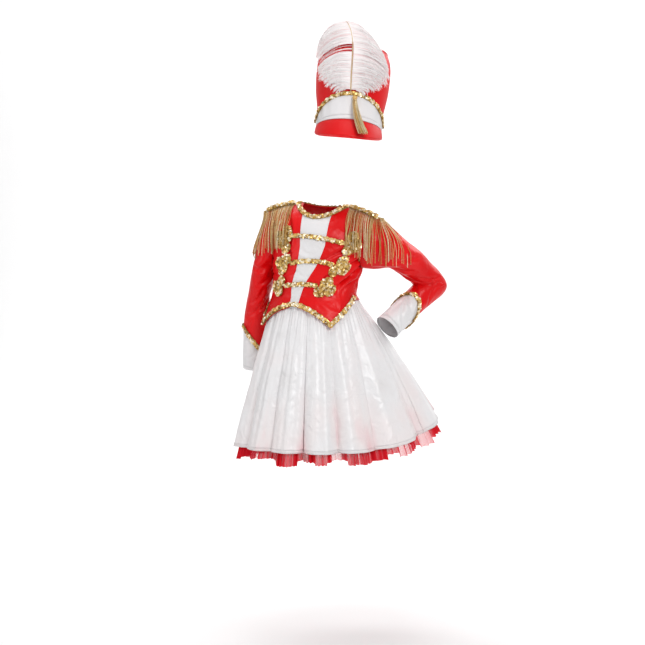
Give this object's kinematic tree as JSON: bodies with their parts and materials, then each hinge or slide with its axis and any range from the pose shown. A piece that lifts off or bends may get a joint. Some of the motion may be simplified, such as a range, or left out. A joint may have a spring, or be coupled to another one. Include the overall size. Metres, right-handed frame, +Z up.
{
  "type": "majorette costume with hat",
  "caption": "Child's majorette costume: long-sleeved dress with gold frogging, fringed shoulders and a flared skirt over net, with a tall plumed hat, held in a standing pose.",
  "frame": {"origin": "the middle of the neck opening at the height of the shoulder line, where the dress hangs on its wearer", "axes": "+Z up, -Y the way the shoulders face, +X to the wearer's left; the costume is longest along Z"},
  "size_m": [0.5071, 0.498, 1.0735],
  "materials": {
    "satin_red": "satin",
    "satin_white": "satin",
    "net_red": "open net",
    "sequin_braid": "sequins on braid",
    "gold_fringe": "metallic yarn",
    "feather": "soft barbs",
    "quill": "natural quill"
  },
  "bodies": {
    "root": {"front_left": "satin_red", "front_right": "satin_red", "back_left": "satin_red", "back_right": "satin_red", "front_inset": "satin_white", "sleeve_upper_left": "satin_red", "sleeve_upper_right": "satin_red", "sleeve_lower_left": "satin_red", "sleeve_lower_right": "satin_red", "cuff_left": "satin_white", "cuff_right": "satin_white", "cuff_braid_left": "sequin_braid", "cuff_braid_right": "sequin_braid", "neck_braid": "sequin_braid", "shoulder_braid_left": "sequin_braid", "shoulder_braid_right": "sequin_braid", "hem_braid": "sequin_braid", "frog_bar_top": "sequin_braid", "frog_bar_middle": "sequin_braid", "frog_bar_bottom": "sequin_braid", "frog_end_top_left": "sequin_braid", "frog_end_top_right": "sequin_braid", "frog_end_middle_left": "sequin_braid", "frog_end_middle_right": "sequin_braid", "frog_end_bottom_left": "sequin_braid", "frog_end_bottom_right": "sequin_braid", "skirt_front_left": "satin_white", "skirt_back_left": "satin_white", "skirt_back_right": "satin_white", "skirt_front_right": "satin_white", "petticoat_front_left": "net_red", "petticoat_back_left": "net_red", "petticoat_back_right": "net_red", "petticoat_front_right": "net_red", "fringe_left": "gold_fringe", "fringe_right": "gold_fringe", "hat_side_left": "satin_red", "hat_side_right": "satin_red", "hat_top": "satin_red", "hat_band": "satin_white", "hat_visor": "satin_red", "hat_braid": "sequin_braid", "plume_quill": "quill", "plume_vane_left": "feather", "plume_vane_right": "feather", "hat_tassel": "gold_fringe"}
  },
  "joints": []
}
